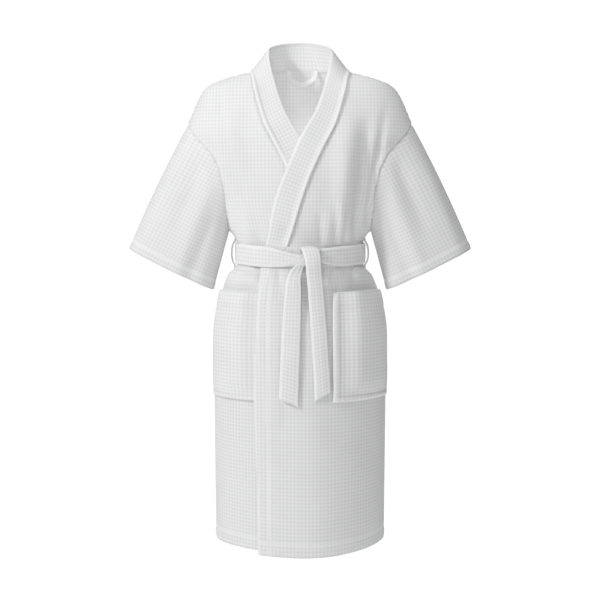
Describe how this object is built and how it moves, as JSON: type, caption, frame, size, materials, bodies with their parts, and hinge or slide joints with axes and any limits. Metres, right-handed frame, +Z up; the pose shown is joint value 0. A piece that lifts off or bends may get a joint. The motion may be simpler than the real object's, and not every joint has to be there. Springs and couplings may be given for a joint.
{
  "type": "bathrobe",
  "caption": "Knee-length wrap bathrobe in white waffle cloth with a flat collar band, wide sleeves, patch pockets and a knotted belt.",
  "frame": {"origin": "where the inside of the neck rests on what holds the robe up: the centre of the neck opening, level with the back neck seam, on the side seams' plane", "axes": "+Z up towards the collar, -Y out of the front where the belt is tied, +X towards the wearer's left sleeve"},
  "size_m": [0.7744, 0.2502, 1.1459],
  "materials": {
    "body_cloth": "white cotton waffle weave, matt, with square cells about 8 mm across",
    "band_cloth": "white cotton waffle weave, doubled and stitched along both edges, matt",
    "belt_cloth": "white cotton waffle weave, doubled and stitched along its edges, matt",
    "loop_tape": "smooth white woven cotton tape, matt"
  },
  "bodies": {
    "robe_body": {"back_panel": "body_cloth", "front_panel_left": "body_cloth", "front_panel_right": "body_cloth", "collar_band": "band_cloth", "pocket_left": "body_cloth", "pocket_right": "body_cloth", "belt_wrap": "belt_cloth", "belt_knot": "belt_cloth", "belt_loop_left": "loop_tape", "belt_loop_right": "loop_tape"},
    "left_sleeve": {"sleeve_left": "body_cloth"},
    "right_sleeve": {"sleeve_right": "body_cloth"},
    "left_belt_end": {"belt_tail_left": "belt_cloth"},
    "right_belt_end": {"belt_tail_right": "belt_cloth"},
    "neck_loop": {"hanging_loop": "loop_tape"}
  },
  "joints": [
    {"name": "sleeve_left_raise", "type": "hinge", "parent": "robe_body", "child": "left_sleeve", "pos_m": [0.238, 0, -0.104], "axis": [0, -1, 0], "range_deg": [0, 40]},
    {"name": "sleeve_right_raise", "type": "hinge", "parent": "robe_body", "child": "right_sleeve", "pos_m": [-0.238, 0, -0.104], "axis": [0, 1, 0], "range_deg": [0, 40]},
    {"name": "belt_tail_left_swing", "type": "hinge", "parent": "robe_body", "child": "left_belt_end", "pos_m": [0.026, -0.1195, -0.4466], "axis": [-1, 0, 0], "range_deg": [0, 80]},
    {"name": "belt_tail_right_swing", "type": "hinge", "parent": "robe_body", "child": "right_belt_end", "pos_m": [-0.003, -0.1195, -0.4466], "axis": [-1, 0, 0], "range_deg": [0, 80]},
    {"name": "hanging_loop_flip", "type": "hinge", "parent": "robe_body", "child": "neck_loop", "pos_m": [0.004, 0.0546, -0.0021], "axis": [-1, 0, 0], "range_deg": [0, 170]}
  ]
}
